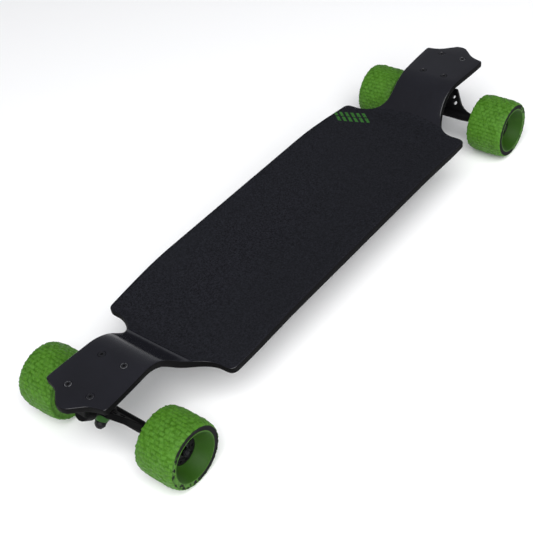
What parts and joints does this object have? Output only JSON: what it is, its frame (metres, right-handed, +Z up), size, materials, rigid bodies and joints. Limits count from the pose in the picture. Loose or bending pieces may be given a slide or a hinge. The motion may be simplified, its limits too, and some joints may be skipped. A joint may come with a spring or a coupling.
{
  "type": "all-terrain longboard",
  "caption": "Drop-deck all-terrain longboard: concave black wooden deck with grit sheet, two black reverse-kingpin trucks and wide green knobbly urethane wheels.",
  "frame": {"origin": "on the ground under the middle of the deck, midway between the two axles", "axes": "+X to the rider's right along the axles, +Y along the deck towards the nose, +Z up"},
  "size_m": [0.2918, 1.012, 0.136],
  "materials": {
    "deck_lacquer": "satin black lacquer over laminated wood, slightly worn at the edges",
    "grip_grit": "black grit-coated grip sheet",
    "wheel_urethane": "bright green cast urethane, moulded knobbly tread",
    "bushing_urethane": "green urethane, glossy",
    "bushing_black": "black urethane, satin",
    "truck_black": "black powder-coated cast alloy",
    "core_nylon": "black glass-filled nylon",
    "black_steel": "black-oxide steel hardware, heads worn to bare metal",
    "bare_steel": "zinc-plated steel"
  },
  "bodies": {
    "deck": {"deck": "deck_lacquer", "grip_tape": "grip_grit", "mounting_bolt_front_1": "black_steel", "lock_nut_front_1": "black_steel", "mounting_bolt_front_2": "black_steel", "lock_nut_front_2": "black_steel", "mounting_bolt_front_3": "black_steel", "lock_nut_front_3": "black_steel", "mounting_bolt_front_4": "black_steel", "lock_nut_front_4": "black_steel", "baseplate_front": "truck_black", "pivot_cup_front": "core_nylon", "kingpin_front": "black_steel", "kingpin_nut_front": "black_steel", "cup_washer_upper_front": "black_steel", "cup_washer_lower_front": "black_steel", "bushing_boardside_front": "bushing_black", "bushing_roadside_front": "bushing_urethane", "mounting_bolt_rear_1": "black_steel", "lock_nut_rear_1": "black_steel", "mounting_bolt_rear_2": "black_steel", "lock_nut_rear_2": "black_steel", "mounting_bolt_rear_3": "black_steel", "lock_nut_rear_3": "black_steel", "mounting_bolt_rear_4": "black_steel", "lock_nut_rear_4": "black_steel", "baseplate_rear": "truck_black", "pivot_cup_rear": "core_nylon", "kingpin_rear": "black_steel", "kingpin_nut_rear": "black_steel", "cup_washer_upper_rear": "black_steel", "cup_washer_lower_rear": "black_steel", "bushing_boardside_rear": "bushing_black", "bushing_roadside_rear": "bushing_urethane"},
    "hanger_front": {"hanger_front": "truck_black", "axle_front": "bare_steel", "axle_nut_front_left": "bare_steel", "axle_nut_front_right": "bare_steel"},
    "hanger_rear": {"hanger_rear": "truck_black", "axle_rear": "bare_steel", "axle_nut_rear_left": "bare_steel", "axle_nut_rear_right": "bare_steel"},
    "wheel_front_left": {"tyre_front_left": "wheel_urethane", "wheel_core_front_left": "core_nylon", "bearing_inner_front_left": "bare_steel", "bearing_outer_front_left": "bare_steel"},
    "wheel_front_right": {"tyre_front_right": "wheel_urethane", "wheel_core_front_right": "core_nylon", "bearing_inner_front_right": "bare_steel", "bearing_outer_front_right": "bare_steel"},
    "wheel_rear_left": {"tyre_rear_left": "wheel_urethane", "wheel_core_rear_left": "core_nylon", "bearing_inner_rear_left": "bare_steel", "bearing_outer_rear_left": "bare_steel"},
    "wheel_rear_right": {"tyre_rear_right": "wheel_urethane", "wheel_core_rear_right": "core_nylon", "bearing_inner_rear_right": "bare_steel", "bearing_outer_rear_right": "bare_steel"}
  },
  "joints": [
    {"name": "steer_front", "type": "hinge", "parent": "deck", "child": "hanger_front", "pos_m": [0, 0.4423, 0.0712], "axis": [0, 0.766, 0.6428], "range_deg": [-15, 15], "stiffness_Nm_per_rad": 60, "deforming": ["bushing_boardside_front", "bushing_roadside_front"]},
    {"name": "steer_rear", "type": "hinge", "parent": "deck", "child": "hanger_rear", "pos_m": [0, -0.4423, 0.0712], "axis": [0, -0.766, 0.6428], "range_deg": [-15, 15], "stiffness_Nm_per_rad": 60, "deforming": ["bushing_boardside_rear", "bushing_roadside_rear"]},
    {"name": "spin_front_left", "type": "hinge", "parent": "hanger_front", "child": "wheel_front_left", "pos_m": [-0.1134, 0.427, 0.05], "axis": [1, 0, 0], "continuous": true},
    {"name": "spin_front_right", "type": "hinge", "parent": "hanger_front", "child": "wheel_front_right", "pos_m": [0.1134, 0.427, 0.05], "axis": [1, 0, 0], "continuous": true},
    {"name": "spin_rear_left", "type": "hinge", "parent": "hanger_rear", "child": "wheel_rear_left", "pos_m": [-0.1134, -0.427, 0.05], "axis": [1, 0, 0], "continuous": true},
    {"name": "spin_rear_right", "type": "hinge", "parent": "hanger_rear", "child": "wheel_rear_right", "pos_m": [0.1134, -0.427, 0.05], "axis": [1, 0, 0], "continuous": true}
  ]
}
